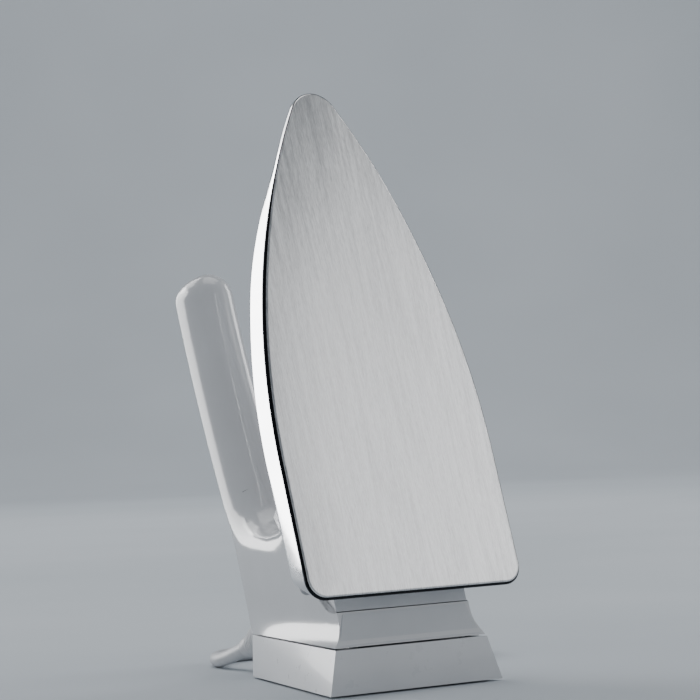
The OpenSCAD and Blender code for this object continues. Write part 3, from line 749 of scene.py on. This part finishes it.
def make_relief(material):
    """Ribbed cone; each rib has a rounded crest and the grooves are cut between them."""
    root, tip, cone, pitch, ribs = 14, 4.8, 28, 3, 9

    def radius(s):
        return root - (root - tip) * s / cone

    rib = ((0.15, 0.55), (0.45, 0.12), (0.9, 0), (1.4, 0.02),
           (1.75, 0.3), (1.95, 0.95), (2.5, 1.15), (2.9, 0.95))
    profile = [(0, -8), (root - 0.05, -8), (root - 0.05, 0.2)]
    for i in range(ribs):
        s = i * pitch
        for step, fall in rib:
            profile.append((radius(s + step) - fall, s + step))
    profile += [(tip, cone), (tip, RELIEF_LEN - 0.8), (tip - 0.3, RELIEF_LEN - 0.2), (tip - 0.9, RELIEF_LEN),
                (CORD_R - 0.3, RELIEF_LEN), (0, RELIEF_LEN - 0.1)]
    obj = lathe("lead_relief", profile, iron(0, CORD_Y, HEEL_BACK), AXIS_Z)
    tidy(obj)
    smooth(obj, 50)
    piece(obj, "iron", "strain_relief", material, "strain_relief")


DIAL_Y, DIAL_Z, DIAL_R = 105, 49.9, 19


def make_dial(material, mark_material):
    """Fluted knob with a recessed pointer and a dished top."""
    flutes, around = 36, 216
    rim = [(0.4, 0), (0, 0.35), (0, 1.6), (0.4, 2), (1.6, 2.1), (1.6, 3), (1.7, 6.9), (2.2, 7.6), (3, 7.95),
           (4.2, 8), (5.2, 7.8)]
    profile = [(6, 0)] + [(DIAL_R - r, s) for r, s in rim] + [(8, 7.35), (0.01, 7.25)]
    rings = []
    for i in range(around):
        a = 2 * math.pi * i / around
        wave = 0.5 - 0.5 * math.cos(flutes * a)
        ring = []
        for r, s in profile:
            grip = 0.75 * wave if 2.5 < s < 7.7 and r > 15 else 0
            out = AXIS_X * math.cos(a) + AXIS_Y * math.sin(a)
            ring.append(iron(0, DIAL_Y, DIAL_Z) + (out * (r - grip) + AXIS_Z * s) * MM)
        rings.append(ring)
    rings.append(rings[0])
    obj = strips("dial_knob", rings, closed=False)
    tidy(obj)
    smooth(obj, 42)
    piece(obj, "dial", "temperature_dial", material, "temperature_dial")
    bar = prism_box("dial_pointer", (-0.7, 0.7), (DIAL_Y + 7.5, DIAL_Y + 15.5), (DIAL_Z + 7.1, DIAL_Z + 7.95))
    soften(bar, 0.2, 2)
    piece(bar, "dial", "temperature_dial", mark_material)


def prism_box(name, xs, ys, zs):
    """A box in the iron's own frame."""
    corners = ((xs[0], zs[0]), (xs[1], zs[0]), (xs[1], zs[1]), (xs[0], zs[1]))
    points = [iron(x, y, z) for x, z in corners for y in ys]
    mesh = bpy.data.meshes.new(name)
    faces = [(0, 1, 3, 2), (2, 3, 5, 4), (4, 5, 7, 6), (6, 7, 1, 0), (0, 2, 4, 6), (1, 7, 5, 3)]
    mesh.from_pydata(points, [], faces)
    obj = link(name, mesh)
    tidy(obj)
    return obj


SCALE_R, SCALE_Z = 20.6, 49.4


def make_dial_scale(material):
    """Seven dots round the dial, each larger than the one before, raised on the bezel."""
    dots = []
    for i in range(7):
        a = math.radians(45 * i - 45)
        size = 0.35 + 0.06 * i
        centre = iron(SCALE_R * math.cos(a), DIAL_Y + SCALE_R * math.sin(a), SCALE_Z)
        profile = [(0, -0.2), (size, -0.2), (size, 0.12), (size * 0.6, 0.2), (0, 0.22)]
        dots.append(lathe(f"scale_dot_{i}", profile, centre, AXIS_Z, 20))
    obj = dots[0]
    join(obj, *dots[1:])
    obj.name = "dial_scale"
    smooth(obj)
    piece(obj, "iron", "dial_bezel", material)


# ---- Stage and light ----

def make_stage():
    """Pale floor that curves up behind the object."""
    n = Nodes("stage_paper")
    n.tint(n.noise(3, 2), (0.56, 0.60, 0.64), (0.60, 0.64, 0.68))
    n.set(Roughness=0.9, Specular_IOR_Level=0.1)
    heading = math.radians(CAMERA_HEADING)
    ahead = Vector((math.sin(heading), math.cos(heading), 0))
    aside = Vector((ahead.y, -ahead.x, 0))
    start, bend, reach = 2.6, 1.2, 5
    turns = [math.radians(a) for a in range(6, 91, 6)]
    rise = [(-reach, 0), (start, 0)]
    rise += [(start + bend * math.sin(a), bend - bend * math.cos(a)) for a in turns]
    rise += [(start + bend, reach)]
    rings = [[ahead * d + Vector((0, 0, h)) + aside * w for d, h in rise] for w in (-reach, reach)]
    floor = strips("stage_floor", rings, closed=False)
    smooth(floor, 60)
    floor.data.materials.append(n.material)


def lamp(name, towards, distance, size, power, aim=(0, 0, 0.14), card=False):
    """Soft rectangular light; a card only shows up as a reflection."""
    data = bpy.data.lights.new(name, "AREA")
    data.shape = "RECTANGLE"
    data.size, data.size_y = size
    data.energy = power
    light = bpy.data.objects.new(name, data)
    direction = Vector(towards).normalized()
    light.location = Vector(aim) + direction * distance
    light.rotation_mode = "QUATERNION"
    light.rotation_quaternion = (-direction).to_track_quat("-Z", "Y")
    light.visible_diffuse = not card
    bpy.context.scene.collection.objects.link(light)


def make_lights():
    """A card behind the left that the wall mirrors, and soft lamps from above, the right and the front."""
    world = bpy.data.worlds.new("studio")
    world.use_nodes = True
    sky = world.node_tree.nodes["Background"]
    sky.inputs["Color"].default_value = (0.17, 0.19, 0.21, 1)
    sky.inputs["Strength"].default_value = 0.9
    bpy.context.scene.world = world
    lamp("left_back", (-0.45, 0.86, 0.12), 1.2, (0.9, 1.1), 27, card=True)
    lamp("back_key", (-0.25, 0.95, 0.75), 1.6, (1.0, 0.8), 9)
    lamp("left_low", (-1, 0.05, 0.02), 0.75, (0.7, 0.12), 1.3, aim=(0, 0, 0.03))
    lamp("right_side", (1, 0.12, 0.3), 1.5, (0.5, 1.0), 7)
    lamp("face_soft", (0.68, -0.70, 0.31), 1.7, (1.0, 1.0), 5)
    lamp("top_soft", (0.1, 0.1, 1), 1.9, (1.4, 1.4), 12)
    lamp("backdrop", (-0.5, -0.72, 0.45), 2.0, (2.2, 1.0), 26, aim=(1.9, 2.8, 0.6))


# ---- Build ----

def plain_nodes():
    """Materials of the CAD nodes that stay as they are: the inner works and the small hardware."""
    steel = metal("zinc_steel", (0.60, 0.60, 0.61), 0.32)
    brass = metal("brass", (0.80, 0.62, 0.30), 0.25)
    sleeve = rubber("sleeving", (0.50, 0.14, 0.12), 0.6)
    porcelain = ceramic("porcelain", (0.88, 0.86, 0.80))
    finishes = {
        "heating_element": metal("oxidised_tube", (0.24, 0.24, 0.25), 0.5),
        "element_terminals": porcelain, "thermostat_stack": porcelain, "terminal_block": porcelain,
        "earth_tab": brass, "terminal_screws": brass, "thermostat_spindle": brass,
        "contact_leaves": metal("spring_bronze", (0.82, 0.58, 0.32), 0.28),
        "bimetal_strip": metal("bimetal", (0.66, 0.46, 0.32), 0.3),
        "heat_shield": brushed("shield_sheet", (0.62, 0.63, 0.65), 0.35),
        "thermostat_frame": steel, "shield_screws": steel, "base_screws": steel, "clamp_screws": steel,
        "thermal_fuse": ceramic("fuse_sleeve", (0.76, 0.70, 0.55)),
        "pilot_lamp": lens_glass("neon_glass", (0.95, 0.55, 0.25)),
        "inner_leads": sleeve,
        "inner_cord": rubber("inner_sheath", (0.30, 0.31, 0.33)),
        "cord_clamp": plastic("clamp_plastic", (0.50, 0.50, 0.51), 0.4),
        "heel_pad": rubber("pad_rubber", (0.16, 0.16, 0.17), 0.7),
        "insulating_skirt": plastic("skirt_plastic", (0.30, 0.31, 0.33), 0.45, 0.2),
        "plug_pins": metal("nickel", (0.78, 0.77, 0.74), 0.18),
        "plug_body": plastic("plug_plastic", (0.60, 0.61, 0.63), 0.42, 0.15),
        "pilot_lens": lens_glass("lens_amber", (0.85, 0.22, 0.08)),
        "dial_bezel": plastic("bezel_plastic", (0.42, 0.43, 0.45), 0.35, 0.1),
    }
    for name, material in finishes.items():
        node = NODES[name]
        node.data.materials.clear()
        node.data.materials.append(material)


def main():
    make_camera()
    make_lead(rubber("lead_sheath", (0.58, 0.59, 0.61), 0.45))
    plain_nodes()
    face = brushed("brushed_sole", (0.86, 0.86, 0.87), 0.34)
    polished = metal("polished_wall", (0.90, 0.90, 0.91), 0.10, 0.04)
    # The handle's plastic is a darker copy of the white plastic: painted shade for the grip, which sits in
    # the sole's shadow.
    gloss = plastic("gloss_painted_grip_shade", (0.66, 0.67, 0.69), 0.16, 0.0, 0.4)
    white = plastic("satin_white", (0.76, 0.77, 0.79), 0.28, 0.0, 0.2)
    # The third material is a near-black metal for the sole's chamfer, a painted dark reflection.
    make_sole(face, polished, metal("bevel_painted_dark_reflection", (0.022, 0.024, 0.028), 0.22, 0.05))
    make_handle(gloss)
    make_back_cover(white)
    make_cover(plastic("cover_white", (0.72, 0.73, 0.75), 0.2, 0.0, 0.3))
    piece(refined("heel_base", "base_moulding", 0.8), "iron", "heel_base", white, "heel_base")
    # The neck panel gets a darker grey than the white plastic: painted shade for the shadow under the sole.
    piece(refined("neck_panel", "neck_front_panel", 0.25), "iron", "neck_panel",
          plastic("panel_painted_shade", (0.60, 0.62, 0.65), 0.22), "neck_panel")
    make_relief(rubber("relief_rubber", (0.62, 0.63, 0.65), 0.45))
    make_dial(plastic("dial_dark", (0.12, 0.125, 0.135), 0.35, 0.1),
              plastic("mark_white", (0.85, 0.85, 0.84), 0.4))
    make_dial_scale(plastic("scale_white", (0.85, 0.85, 0.84), 0.4))
    make_stage()
    make_lights()


main()
bpy.context.view_layer.update()
